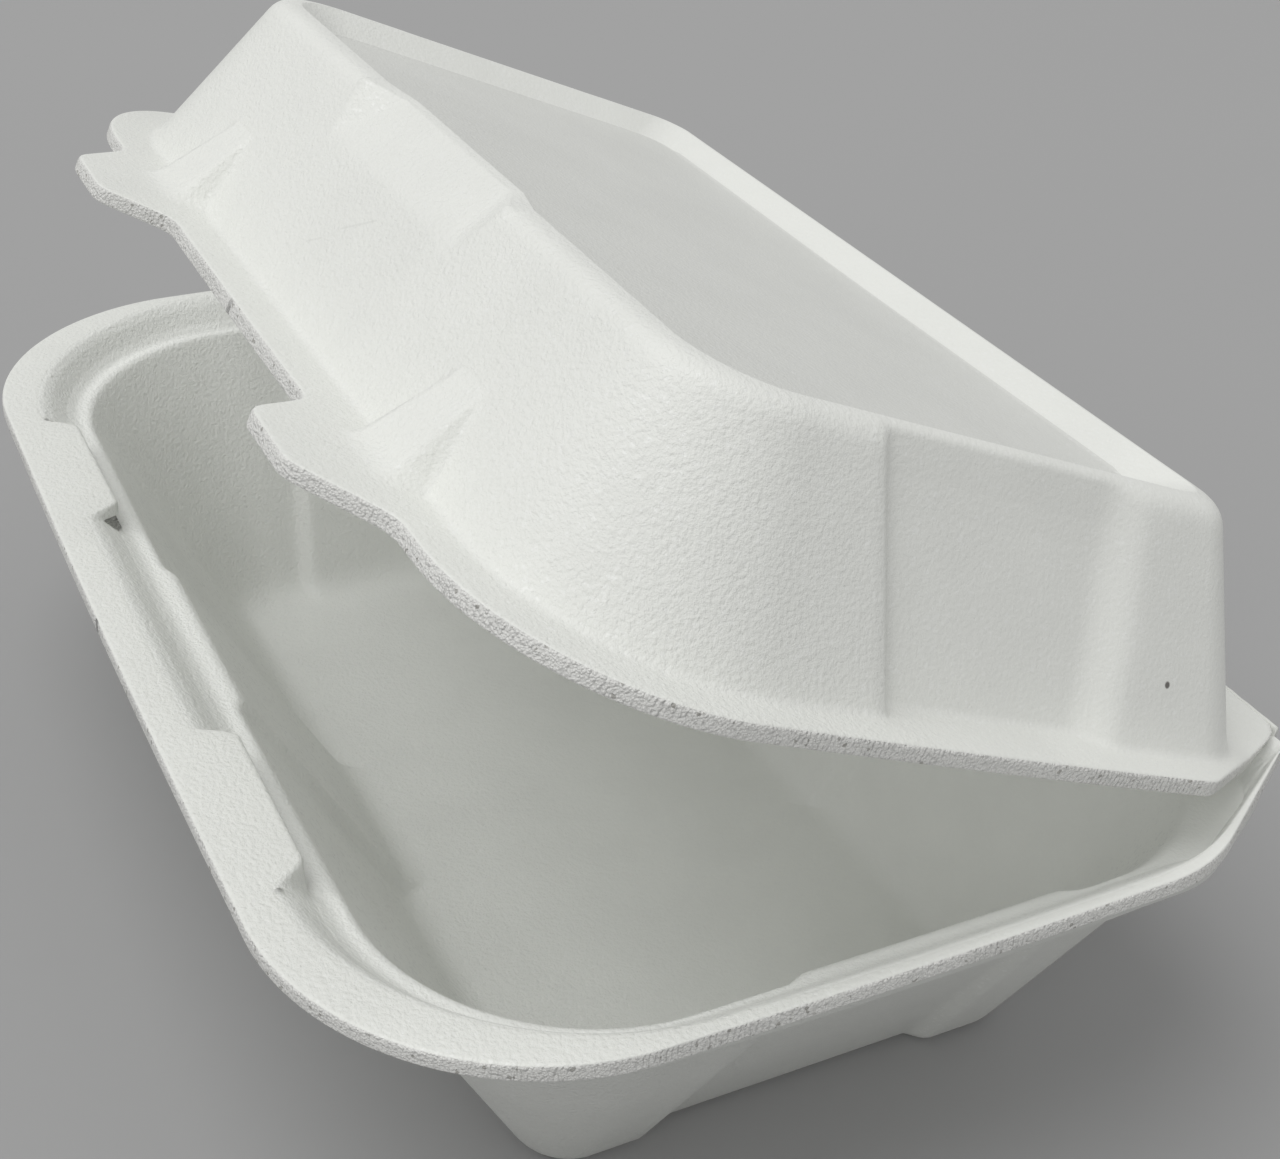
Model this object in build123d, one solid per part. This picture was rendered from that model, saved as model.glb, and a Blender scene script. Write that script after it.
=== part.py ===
from build123d import *
import os
from math import cos, radians

# A hinged take-away box, thermoformed in one piece from a sheet of expanded polystyrene foam.
# The tub stands on its floor; the lid folds about a crushed line along the back of the rim.
# Origin: centre of the tub's floor, on the table. X to the right, -Y to the front, Z up.
# All lengths are in millimetres. The lid is drawn closed and then swung to its rest angle.

# Sheet and hinge
foam = 2.3
open_angle = 22.4
hinge_y = 66.6
hinge_gap = 0.15

# Rim of the tub
rim_height = 50.5
rim_half_width = 100.1
rim_front = -68.6
rim_bow = 1.4
rim_corner = 34.0
hinge_half_width = 84.3
rim_chamfer_start = 40.0
shoulder_round = 12.0
hinge_end_round = 1.5
step_end_round = 6.0

# Flange on top of the rim, and the step inside it that takes the lid
side_flange = 2.8
front_flange = 6.6
flange_corner = 35.4
step_run = 3.0
step_run_front = 3.6
step_depth = 5.1
step_corner = 30.0
step_back = 59.5
step_hinge_extra = 2.2
step_chamfer_start = 43.5
flange_chamfer_start = 42.0
flange_back_run = 2.4
flange_hinge_inset = 1.4

# Walls and floor of the tub
seat_half_width = 93.2
seat_front = -56.0
seat_back = 57.0
seat_corner = 29.0
seat_back_corner = 26.0
foot_half_width = 71.4
foot_front = -34.1
foot_back = 39.6
foot_corner = 7.0
foot_round = 5.0
floor_bevel = 4.0
bevel_rise = 3.6
bevel_corner = 3.5
wall_draft = 27.0
wall_skim = 0.005

# Shallow panels pressed into the middle of each wall of the tub
tub_panel_depth = 2.3
tub_panel_top_depth = 1.1
tub_side_panel_from = -19.0
tub_side_panel_to = 24.0
tub_front_panel_half = 17.0
tub_back_panel_half = 23.0
panel_end_slope = 1.6
panel_cutter_reach = 20.0

# Lid
lid_clearance = 0.2
lid_half_width = 93.5
lid_front = -56.2
lid_bow = 1.3
lid_corner = 27.6
lid_chamfer_start = 42.0
lid_hinge_half_width = 81.8
web_start = 58.8
web_top_start = 58.2
web_lift = 0.1
lid_foot_half_width = 89.4
lid_foot_front = -50.6
lid_foot_back = 57.0
lid_foot_corner = 26.0
lid_foot_back_corner = 17.0
lid_height = 28.4
ridge_half_width = 76.0
ridge_front = -39.4
ridge_back = 42.5
ridge_corner = 13.6
ridge_back_corner = 9.0
lid_draft = 25.0
ridge_round = 5.0
ridge_width = 3.7
panel_slope = 4.2
panel_depth = 3.2
panel_corner = 6.0
panel_top_corner = 9.0

# Panels pressed into the lid's side walls, and the notch in the front of its ridge
lid_side_panel_from = -7.5
lid_side_panel_from_top = -14.0
lid_side_panel_to = 26.3
lid_panel_depth = 2.6
notch_half = 26.0
notch_low_half = 15.0
notch_low = 19.0
notch_depth = 3.0

# Two tabs on the front of the lid, the webs above them and the slots that take them
tab_centre = 44.3
tab_root_half = 14.8
tab_tip_half = 6.5
tab_tip_shift = 1.8
tab_length = 9.4
tab_flare = 1.0
tab_overlap = 6.0
tab_tip_round = 4.0
tab_root_round = 5.0
gusset_half = 7.8
gusset_nose_half = 5.5
gusset_top_half = 3.5
gusset_reach = 4.8
gusset_height = 12.0
gusset_overlap = 2.0
plateau_half = 15.5
plateau_edge = -59.5
plateau_overlap = 1.5
plateau_round = 1.2
slot_run = 20.0
slot_overrun = 1.2

# Levels, from the table up
seat_height = rim_height - step_depth
flange_under = rim_height - foam
lid_under = seat_height + lid_clearance
lid_top_face = lid_under + foam
ridge_height = lid_top_face + lid_height
hinge_height = rim_height - foam / 2
wall_shift = foam / cos(radians(wall_draft))
lid_wall_shift = foam / cos(radians(lid_draft))
wall_slope = (seat_half_width + wall_shift - foot_half_width) / seat_height
lid_slope = (lid_foot_half_width - ridge_half_width) / lid_height
inner_foot_inset = wall_shift - wall_slope * foam
lid_inset = lid_wall_shift - lid_slope * foam


def rim_outline(half_width, hinge_half, front, chamfer_start, back, front_radius, bow, end_round):
    """Outline with bowed front and sides, round front corners and back corners cut to the hinge."""
    side = ThreePointArc((half_width, front), (half_width + bow, (front + chamfer_start) / 2),
                         (half_width, chamfer_start))
    chamfer = Line((half_width, chamfer_start), (hinge_half, back))
    fold = Line((hinge_half, back), (-hinge_half, back))
    other_chamfer = Line((-hinge_half, back), (-half_width, chamfer_start))
    other_side = ThreePointArc((-half_width, chamfer_start), (-half_width - bow, (front + chamfer_start) / 2),
                               (-half_width, front))
    nose = ThreePointArc((-half_width, front), (0, front - bow), (half_width, front))
    face = make_face([side, chamfer, fold, other_chamfer, other_side, nose])
    corners = face.vertices().sort_by(Axis.Y)
    face = fillet(corners[0:2], radius=front_radius)
    shoulders = [v for v in face.vertices() if abs(v.Y - chamfer_start) < 0.01]
    face = fillet(shoulders, radius=shoulder_round)
    ends = face.vertices().group_by(Axis.Y)[-1]
    return fillet(ends, radius=end_round)


def wall_outline(half_width, front, back, front_radius, back_radius):
    """Rectangle with its front and back corners rounded, for the walls."""
    face = Pos(0, (front + back) / 2) * Rectangle(2 * half_width, back - front)
    face = fillet(face.vertices().group_by(Axis.Y)[0], radius=front_radius)
    return fillet(face.vertices().group_by(Axis.Y)[-1], radius=back_radius)


def between(lower, low_z, upper, high_z):
    """Straight-sided solid from one outline up to another."""
    return loft([Pos(0, 0, low_z) * lower, Pos(0, 0, high_z) * upper], ruled=True)


def flat_walls(body, low, low_z, high, high_z):
    """Trims the straight stretches of drafted walls to planes; low and high are half width, front, back."""
    for turn, foot, top in ((0, low[0], high[0]), (180, low[0], high[0]), (90, low[2], high[2]),
                            (-90, -low[1], -high[1])):
        lean = (high_z - low_z, 0, foot - top)
        wall = Plane(origin=(foot - wall_skim, 0, low_z), x_dir=(0, 1, 0), z_dir=lean)
        body = split(body, bisect_by=Plane(Rot(0, 0, turn) * wall.location), keep=Keep.BOTTOM)
    return body


def pressed(low_corners, low_z, high_corners, high_z):
    """Block with a four-cornered outline at its foot and another at its top."""
    low = make_face(Polyline(*low_corners, close=True))
    high = make_face(Polyline(*high_corners, close=True))
    return between(low, low_z, high, high_z)


def side_press(inner_x, outer_x, y_from, y_to):
    """Plan of a panel pressed into the right-hand wall, with sloping ends."""
    slope = panel_end_slope
    return [(inner_x, y_from + slope), (outer_x, y_from - slope), (outer_x, y_to + slope),
            (inner_x, y_to - slope)]


def end_press(inner_y, outer_y, half):
    """Plan of a panel pressed into the front or back wall, with sloping ends."""
    slope = panel_end_slope
    return [(-half + slope, inner_y), (-half - slope, outer_y), (half + slope, outer_y),
            (half - slope, inner_y)]


def drafted(low, low_z, high, high_z):
    """Drafted walls between two outlines, each given as half width, front, back and two radii."""
    body = between(wall_outline(*low), low_z, wall_outline(*high), high_z)
    return flat_walls(body, low[:3], low_z, high[:3], high_z)


def tub_form(grow, foot_inset, floor_z):
    """The tub's body. Its outer face grows by the sheet's thickness at the top; the hollow is inset."""
    top = (seat_half_width + grow, seat_front - grow, seat_back + grow,
           seat_corner + grow, seat_back_corner + grow)
    foot = (foot_half_width - foot_inset, foot_front + foot_inset, foot_back - foot_inset,
            foot_corner, foot_corner)
    if floor_z == 0:
        body = drafted(foot, floor_z, top, seat_height)
        body = fillet(body.edges().group_by(Axis.Z)[0], radius=foot_round)
    else:
        bend_z = floor_z + bevel_rise
        share = bevel_rise / (seat_height - floor_z)
        bend = [low + share * (high - low) for low, high in zip(foot, top)]
        floor = (foot[0] - floor_bevel, foot[1] + floor_bevel, foot[2] - floor_bevel,
                 bevel_corner, bevel_corner)
        body = drafted(floor, floor_z, bend, bend_z) + drafted(bend, bend_z, top, seat_height)
    far = panel_cutter_reach
    foot_x = foot_half_width - foot_inset - tub_panel_depth
    top_x = seat_half_width + grow - tub_panel_top_depth
    start, end = tub_side_panel_from - foot_inset, tub_side_panel_to + foot_inset
    side = pressed(side_press(foot_x, foot_x + far, start, end), floor_z,
                   side_press(top_x, top_x + far, start, end), seat_height)
    foot_y = foot_front + foot_inset + tub_panel_depth
    top_y = seat_front - grow + tub_panel_top_depth
    half = tub_front_panel_half + foot_inset
    front = pressed(end_press(foot_y, foot_y - far, half), floor_z,
                    end_press(top_y, top_y - far, half), seat_height)
    foot_y = foot_back - foot_inset - tub_panel_depth
    top_y = seat_back + grow - tub_panel_top_depth
    half = tub_back_panel_half + foot_inset
    back = pressed(end_press(foot_y, foot_y + far, half), floor_z,
                   end_press(top_y, top_y + far, half), seat_height)
    return body - side - mirror(side, about=Plane.YZ) - front - back


def make_base():
    """Tub with its rim: flange, step for the lid, slots for its tabs, drafted walls and floor."""
    rim = rim_outline(rim_half_width, hinge_half_width, rim_front, rim_chamfer_start,
                      hinge_y - hinge_gap, rim_corner, rim_bow, hinge_end_round)
    edge_half = rim_half_width - side_flange
    edge_front = rim_front + front_flange
    edge_hinge = hinge_half_width - flange_hinge_inset
    edge_back = hinge_y + flange_back_run
    flange_edge = rim_outline(edge_half, edge_hinge, edge_front, flange_chamfer_start, edge_back,
                              flange_corner, rim_bow, step_end_round)
    under_edge = rim_outline(edge_half + foam, edge_hinge + foam, edge_front - foam, flange_chamfer_start,
                             edge_back + foam, flange_corner, rim_bow, step_end_round + foam)
    step_half = edge_half - step_run
    step_front = edge_front + step_run_front
    step_hinge = hinge_half_width + step_hinge_extra
    step_foot = rim_outline(step_half, step_hinge, step_front, step_chamfer_start, step_back,
                            step_corner, rim_bow, step_end_round)
    under_foot = rim_outline(step_half + foam, step_hinge + foam, step_front - foam, step_chamfer_start,
                             step_back + foam, step_corner, rim_bow, step_end_round + foam)
    flange = extrude(Pos(0, 0, flange_under) * rim, foam)
    prism = extrude(Pos(0, 0, seat_height - foam) * rim, foam + step_depth)
    collar = between(under_foot, seat_height - foam, under_edge, rim_height) & prism
    body = flange + collar + tub_form(wall_shift, 0, 0)
    hollow = between(step_foot, seat_height, flange_edge, rim_height)
    lower_edge, upper_edge = edge_front - rim_bow - plateau_overlap, plateau_edge
    shelf_y = (lower_edge + upper_edge) / 2
    shelf = Box(2 * plateau_half, upper_edge - lower_edge, foam)
    shelf = fillet(shelf.edges().filter_by(Axis.Z).group_by(Axis.Y)[-1], radius=plateau_round)
    shelves = [Pos(x, shelf_y, rim_height - foam / 2) * shelf for x in (-tab_centre, tab_centre)]
    slot_z = (seat_height + flange_under) / 2
    slot = Box(2 * plateau_half, slot_run, flange_under - seat_height)
    slot_y = plateau_edge + slot_overrun - slot_run / 2
    slots = [Pos(x, slot_y, slot_z) * slot for x in (-tab_centre, tab_centre)]
    body = body - hollow + shelves - slots
    return body - tub_form(0, inner_foot_inset, foam)


def lid_form(inset, drop):
    """The lid's body above its flange; inset and dropped by the sheet's thickness it is the hollow."""
    low, high = lid_top_face - drop, ridge_height - drop
    foot = (lid_foot_half_width - inset, lid_foot_front + inset, lid_foot_back - inset,
            lid_foot_corner, lid_foot_back_corner)
    ridge = (ridge_half_width - inset, ridge_front + inset, ridge_back - inset,
             ridge_corner, ridge_back_corner)
    body = drafted(foot, low, ridge, high)
    if drop == 0:
        body = fillet(body.edges().group_by(Axis.Z)[-1], radius=ridge_round)
    far = panel_cutter_reach
    foot_x = lid_foot_half_width - inset - lid_panel_depth
    top_x = ridge_half_width - inset - lid_panel_depth
    end = lid_side_panel_to + inset
    side = pressed(side_press(foot_x, foot_x + far, lid_side_panel_from - inset, end), low,
                   side_press(top_x, top_x + far, lid_side_panel_from_top - inset, end), high)
    wall_run = (ridge_front - lid_foot_front) / lid_height
    notch_y = lid_foot_front + wall_run * notch_low + inset
    notch = pressed(end_press(notch_y, notch_y - far, notch_low_half + inset), low + notch_low,
                    end_press(ridge_front + notch_depth + inset, ridge_front - far,
                              notch_half + inset), high)
    foot_y, nose_y = lid_foot_front + gusset_overlap, lid_foot_front - gusset_reach + inset
    top_y = lid_foot_front + wall_run * gusset_height + inset
    back_y = top_y + gusset_overlap
    wide, nose, narrow = gusset_half - inset, gusset_nose_half - inset, gusset_top_half - inset
    gusset = pressed([(-wide, foot_y), (-nose, nose_y), (nose, nose_y), (wide, foot_y)], low,
                     [(-narrow, back_y), (-narrow, top_y), (narrow, top_y), (narrow, back_y)],
                     low + gusset_height)
    gussets = [Pos(x, 0, 0) * gusset for x in (-tab_centre, tab_centre)]
    return body - side - mirror(side, about=Plane.YZ) - notch + gussets


def panel_pocket(grow, drop):
    """The space over the lid's sunk top panel, inside its raised ridge."""
    top_in, low_in = ridge_width - grow, ridge_width + panel_slope - grow
    low = wall_outline(ridge_half_width - low_in, ridge_front + low_in + notch_depth / 2,
                       ridge_back - low_in, panel_corner, panel_corner)
    high = wall_outline(ridge_half_width - top_in, ridge_front + top_in + notch_depth / 2,
                        ridge_back - top_in, panel_top_corner, panel_top_corner)
    return between(low, ridge_height - drop - panel_depth, high, ridge_height - drop)


def make_lid():
    """Lid drawn closed: flange with two tabs, drafted walls, ridge round a sunk panel, and web."""
    plan = rim_outline(lid_half_width, lid_hinge_half_width, lid_front, lid_chamfer_start,
                       hinge_y - hinge_gap, lid_corner, lid_bow, hinge_end_round)
    root_y, tip_y = lid_front, lid_front - lid_bow - tab_length
    root_x = tab_root_half + tab_flare
    tip_from, tip_to = -tab_tip_half - tab_tip_shift, tab_tip_half - tab_tip_shift
    tab = make_face(Polyline((-tab_root_half, root_y + tab_overlap), (-root_x, root_y), (tip_from, tip_y),
                             (tip_to, tip_y), (root_x, root_y), (tab_root_half, root_y + tab_overlap),
                             close=True))
    tab = fillet(tab.vertices().group_by(Axis.Y)[0], radius=tab_tip_round)
    tab = Pos(tab_centre, 0, 0) * tab
    whole = plan + tab + mirror(tab, about=Plane.YZ)
    inner_x, outer_x = tab_centre - root_x - tab_flare, tab_centre + root_x + tab_flare
    roots = [v for v in whole.vertices() if inner_x < abs(v.X) < outer_x and v.Y > tip_y + tab_length / 2]
    whole = fillet(roots, radius=tab_root_round)
    flange = extrude(Pos(0, 0, lid_under) * whole, foam)
    depth = web_start - lid_front + 2 * tab_length
    front_part = Pos(0, web_start - depth / 2, lid_under + foam / 2) * Box(3 * lid_half_width, depth, foam)
    back = hinge_y - hinge_gap
    web_end = hinge_height + web_lift
    inside = web_start - 2 * foam
    profile = make_face(Polyline((inside, lid_under), (web_start, lid_under), (back, web_end),
                                 (back, web_end + foam), (web_top_start, lid_top_face),
                                 (inside, lid_top_face), close=True))
    web = extrude(Plane.YZ * profile, lid_half_width, both=True)
    column = extrude(Pos(0, 0, lid_under) * plan, 4 * foam)
    skirt = (flange & front_part) + (web & column)
    ridge = lid_form(0, 0) - panel_pocket(0, 0)
    hollow = lid_form(lid_inset, foam) - panel_pocket(lid_inset / 2, foam)
    return skirt + ridge - hollow


os.makedirs("parts", exist_ok=True)
base = make_base()
lid_closed = make_lid()
lid = Pos(0, hinge_y, hinge_height) * Rot(-open_angle, 0, 0) * Pos(0, -hinge_y, -hinge_height) * lid_closed
export_step(base, "parts/base.step")
export_step(lid, "parts/lid.step")
for name, shape in (("base", base), ("lid", lid)):
    box = shape.bounding_box()
    print(name, round(shape.volume / 1000, 2), "cm3", len(shape.solids()), shape.is_valid, box.size)
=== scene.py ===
import math
import bmesh
import bpy
import numpy as np
from mathutils import Matrix, Vector


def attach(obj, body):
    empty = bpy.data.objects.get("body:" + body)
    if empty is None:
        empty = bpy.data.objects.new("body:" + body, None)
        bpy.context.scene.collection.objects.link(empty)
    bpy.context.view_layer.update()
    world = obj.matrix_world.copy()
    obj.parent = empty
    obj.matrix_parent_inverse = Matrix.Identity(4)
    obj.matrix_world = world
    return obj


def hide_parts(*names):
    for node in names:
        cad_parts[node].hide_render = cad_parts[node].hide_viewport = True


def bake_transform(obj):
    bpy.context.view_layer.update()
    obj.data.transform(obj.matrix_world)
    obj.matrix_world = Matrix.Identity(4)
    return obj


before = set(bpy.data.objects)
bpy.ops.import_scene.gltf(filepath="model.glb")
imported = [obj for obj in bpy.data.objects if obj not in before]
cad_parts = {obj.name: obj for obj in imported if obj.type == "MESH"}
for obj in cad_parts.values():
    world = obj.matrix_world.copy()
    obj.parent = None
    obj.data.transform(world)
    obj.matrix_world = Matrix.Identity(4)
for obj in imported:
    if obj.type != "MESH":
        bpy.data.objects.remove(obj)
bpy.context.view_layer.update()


# The foam sheet. Tub and lid are thermoformed from one sheet of white expanded polystyrene, with
# drafted walls, soft bends and a die-cut edge. Both are built alike: outlines at several heights,
# joined row by row, each bend rounded. Lengths are millimetres.
MM = 0.001
foam = 2.3


def corner_arc(before, corner, after, radius, count):
    """Points of the round corner between two straight runs."""
    corner = np.array(corner, float)
    a = np.array(before, float) - corner
    b = np.array(after, float) - corner
    a /= np.linalg.norm(a)
    b /= np.linalg.norm(b)
    half = math.acos(float(np.clip(a @ b, -1, 1))) / 2
    reach = radius / math.tan(half)
    middle = (a + b) / np.linalg.norm(a + b)
    centre = corner + middle * radius / math.sin(half)
    first = corner + a * reach - centre
    last = corner + b * reach - centre
    turn = math.atan2(first[0] * last[1] - first[1] * last[0], first @ last)
    steps = np.linspace(0, turn, count)
    cos, sin = np.cos(steps), np.sin(steps)
    return np.column_stack([centre[0] + cos * first[0] - sin * first[1],
                            centre[1] + sin * first[0] + cos * first[1]])


def along(points, count, skip_last=True):
    """Points spaced evenly along a polyline."""
    points = np.asarray(points, float)
    length = np.concatenate([[0], np.cumsum(np.linalg.norm(np.diff(points, axis=0), axis=1))])
    want = np.linspace(0, length[-1], count + 1)
    if skip_last:
        want = want[:-1]
    return np.column_stack([np.interp(want, length, points[:, i]) for i in (0, 1)])


def rounded_path(corners, radii):
    """Polyline with its inner corners rounded."""
    corner_points = 14
    found = [np.array([corners[0]], float)]
    for i in range(1, len(corners) - 1):
        found.append(corner_arc(corners[i - 1], corners[i], corners[i + 1], radii[i - 1], corner_points))
    found.append(np.array([corners[-1]], float))
    return np.vstack(found)


# Points in a round corner, and in the first and the last bend of a chamfer
arc_points, shoulder_points, end_points = 60, 30, 16


class Plan:
    """Where a half outline's columns run: the same counts between stations on every ring of a piece."""

    def __init__(self, front_counts, corner_count, side_counts, back_corner_count, back_counts):
        self.front_counts, self.side_counts, self.back_counts = front_counts, side_counts, back_counts
        self.corner_count, self.back_corner_count = corner_count, back_corner_count

    def outline(self, size, front_x, side_y, back_x, bow=0.0, chamfer=None, end_radius=1.5,
                shoulder=12.0):
        """Right half of an outline, with its front and sides bowed outwards.

        size holds half the width, the front, the back and the two corner radii. A chamfer cuts the
        back corner from a place on the side to half a width at the back, rounded at both ends.
        """
        side_from_share = 0.6
        half_width, front, back, front_radius, back_radius = size
        parts = []
        front_corner = corner_arc((0, front), (half_width, front), (half_width, back), front_radius,
                                  arc_points)
        runs = [(x, front) for x in front_x] + [tuple(front_corner[0])]
        for i, count in enumerate(self.front_counts):
            parts.append(along([runs[i], runs[i + 1]], count))
        parts.append(along(front_corner, self.corner_count))
        if chamfer is None:
            tail = corner_arc((half_width, front), (half_width, back), (0, back), back_radius, arc_points)
        else:
            start, hinge_half = chamfer
            first = corner_arc((half_width, front), (half_width, start), (hinge_half, back), shoulder,
                               shoulder_points)
            second = corner_arc((half_width, start), (hinge_half, back), (0, back), end_radius,
                                end_points)
            tail = np.vstack([first, second])
        runs = [tuple(front_corner[-1])] + [(half_width, y) for y in side_y] + [tuple(tail[0])]
        for i, count in enumerate(self.side_counts):
            parts.append(along([runs[i], runs[i + 1]], count))
        parts.append(along(tail, self.back_corner_count))
        runs = [tuple(tail[-1])] + [(x, back) for x in back_x]
        for i, count in enumerate(self.back_counts):
            last = i == len(self.back_counts) - 1
            parts.append(along([runs[i], runs[i + 1]], count, skip_last=not last))
        points = np.vstack(parts)
        centre, reach = (front + back) / 2, (back - front) / 2
        front_bow = np.clip(1 - (points[:, 0] / half_width) ** 2, 0, 1)
        points[:, 1] -= bow * front_bow * (points[:, 1] < centre)
        side_bow = np.clip(1 - ((points[:, 1] - centre) / reach) ** 2, 0, 1)
        points[:, 0] += bow * side_bow * (np.abs(points[:, 0]) > half_width * side_from_share)
        return points


def ring(points, z):
    """An outline at a height, which may differ along it."""
    return np.column_stack([points, np.broadcast_to(z, len(points))])


def smooth(a, b, x):
    """0 below a, 1 above b, with an even S between."""
    t = np.clip((x - a) / (b - a), 0, 1)
    return t * t * (3 - 2 * t)


def part_way(low, high, share):
    """Values of two sizes mixed: the section of a straight wall part of the way up."""
    return tuple(a + share * (b - a) for a, b in zip(low, high))


def share_at(value, low, high):
    """How far a value is on the way from low to high."""
    return (value - low) / (high - low)


def rounded_rows(rings, radii):
    """Rows of points down the rings with each bend rounded, and the row in the middle of each bend.

    A bend's radius may differ from column to column. A bend takes under half of the run to the next
    ring if that one is rounded too, and most of it otherwise.
    """
    row_spacing, bend_rows = 1.5, 7
    shared_room, own_room, small_bend = 0.46, 0.84, 0.6
    steepest_half_turn = 1.35
    rows, middles = [rings[0]], [0]
    previous_end = rings[0]
    for k in range(1, len(rings)):
        here = rings[k]
        if k < len(rings) - 1 and np.any(radii[k]):
            back_way = rings[k - 1] - here
            on_way = rings[k + 1] - here
            back_length = np.linalg.norm(back_way, axis=1, keepdims=True) + 1e-9
            on_length = np.linalg.norm(on_way, axis=1, keepdims=True) + 1e-9
            back_way, on_way = back_way / back_length, on_way / on_length
            cosine = np.clip(np.sum(back_way * on_way, axis=1, keepdims=True), -1, 1)
            turn = np.pi - np.arccos(cosine)
            reach = np.reshape(radii[k], (-1, 1)) * np.tan(np.clip(turn / 2, 0, steepest_half_turn))
            back_room = back_length * (shared_room if np.max(radii[k - 1]) > small_bend else own_room)
            on_room = on_length * (shared_room if np.max(radii[k + 1]) > small_bend else own_room)
            reach = np.minimum(reach, np.minimum(back_room, on_room))
            start, end = here + back_way * reach, here + on_way * reach
            bend = [(1 - t) ** 2 * start + 2 * t * (1 - t) * here + t * t * end
                    for t in np.linspace(0, 1, bend_rows)]
        else:
            bend = [here]
        length = np.median(np.linalg.norm(bend[0] - previous_end, axis=1))
        count = max(1, int(round(length / row_spacing)))
        for i in range(1, count):
            rows.append(previous_end + (bend[0] - previous_end) * i / count)
        rows.extend(bend)
        middles.append(len(rows) - 1 - len(bend) // 2)
        previous_end = bend[-1]
    return rows, middles


# Sizes of the rings that close a panel, as shares of its edge
middle_shares = (0.02, 0.1, 0.2, 0.3, 0.4, 0.5, 0.6, 0.7, 0.8, 0.88)


def closing_rings(edge, shares, centre_y):
    """Rings that close a flat panel towards its middle."""
    found = []
    for share in shares:
        points = edge.copy()
        points[:, 0] *= share
        points[:, 1] = centre_y + (points[:, 1] - centre_y) * share
        found.append(points)
    return found


def sheet_rows(form, centre_y):
    """Every row of a sheet, closed at both ends towards centre_y, and the row at each named bend.

    form names the sheet's rings in order, each with its bend's radius.
    """
    rings = [part[0] for part in form.values()]
    bends = [part[1] for part in form.values()]
    first = closing_rings(rings[0], middle_shares, centre_y)
    last = closing_rings(rings[-1], middle_shares[::-1], centre_y)
    rows, middles = rounded_rows(first[-1:] + rings + last[:1], [0] + bends + [0])
    before = len(first) - 1
    bend_at = {name: before + middle for name, middle in zip(form, middles[1:-1])}
    return first[:-1] + rows + last[1:], bend_at


def outward_faces(mesh):
    """Turn a closed mesh's faces outwards and shade it smooth."""
    faced = bmesh.new()
    faced.from_mesh(mesh)
    bmesh.ops.recalc_face_normals(faced, faces=faced.faces)
    faced.to_mesh(mesh)
    faced.free()
    mesh.polygons.foreach_set("use_smooth", np.ones(len(mesh.polygons), bool))
    mesh.update()


def placed(name, data):
    """A mesh, a light or a camera put into the scene."""
    made = bpy.data.objects.new(name, data)
    bpy.context.scene.collection.objects.link(made)
    return made


# A row's zone is the number of its material in the sheet's list, and the cut edge comes second
cut_zone = 1


def formed_sheet(name, rows, materials, zones, cut_row, slots=()):
    """Closed mesh from half rows, mirrored to the left, with through slots.

    zones holds a material index for each row, and the slots' walls get the cut edge's. Each slot gives
    its first and last row on one face of the sheet, the same on the other face, and its first and last
    column. The attribute run is the way round the rim's cut edge, in metres.
    """
    grid = np.array(rows)
    mirrored = grid[:, -2:0:-1, :].copy()
    mirrored[:, :, 0] *= -1
    grid = np.concatenate([grid, mirrored], axis=1)
    row_count, column_count = grid.shape[:2]
    edge_line = np.vstack([grid[cut_row], grid[cut_row][:1]])
    run = np.concatenate([[0], np.cumsum(np.linalg.norm(np.diff(edge_line, axis=0), axis=1))])[:-1]
    points = np.vstack([grid.reshape(-1, 3), grid[0].mean(0), grid[-1].mean(0)])
    first_centre, last_centre = len(points) - 2, len(points) - 1
    index = np.arange(row_count * column_count).reshape(row_count, column_count)
    onward = np.roll(index, -1, axis=1)
    keep = np.ones((row_count - 1, column_count), bool)
    walls = []
    for face_from, face_to, other_from, other_to, start, end in slots:
        for a, b in ((start, end), (column_count - end, column_count - start)):
            keep[face_from:face_to, a:b] = False
            keep[other_from:other_to, a:b] = False
            for c in range(a, b):
                walls.append((index[face_from, c], index[face_from, c + 1],
                              index[other_to, c + 1], index[other_to, c]))
                walls.append((index[face_to, c + 1], index[face_to, c],
                              index[other_from, c], index[other_from, c + 1]))
            for c in (a, b):
                walls.append([index[r, c] for r in range(face_from, face_to + 1)]
                             + [index[r, c] for r in range(other_from, other_to + 1)])
    quads = np.stack([index[:-1], index[1:], onward[1:], onward[:-1]], axis=-1)[keep]
    zone_grid = np.repeat(np.asarray(zones[:-1])[:, None], column_count, axis=1)[keep]
    faces = [tuple(map(int, quad)) for quad in quads]
    faces += [(first_centre, int(a), int(b)) for a, b in zip(index[0], onward[0])]
    faces += [(last_centre, int(b), int(a)) for a, b in zip(index[-1], onward[-1])]
    ends = np.concatenate([np.full(column_count, zones[0]), np.full(column_count, zones[-1])])
    faces += [tuple(map(int, wall)) for wall in walls]
    mesh = bpy.data.meshes.new(name)
    mesh.from_pydata(points * MM, [], faces)
    for material in materials:
        mesh.materials.append(material)
    face_zone = np.concatenate([zone_grid, ends, np.full(len(walls), cut_zone)]).astype(np.int32)
    mesh.polygons.foreach_set("material_index", face_zone)
    along_edge = mesh.attributes.new("run", "FLOAT", "POINT")
    along_edge.data.foreach_set("value", np.concatenate([np.tile(run, row_count), [0, 0]]) * MM)
    outward_faces(mesh)
    return placed(name, mesh)


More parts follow.
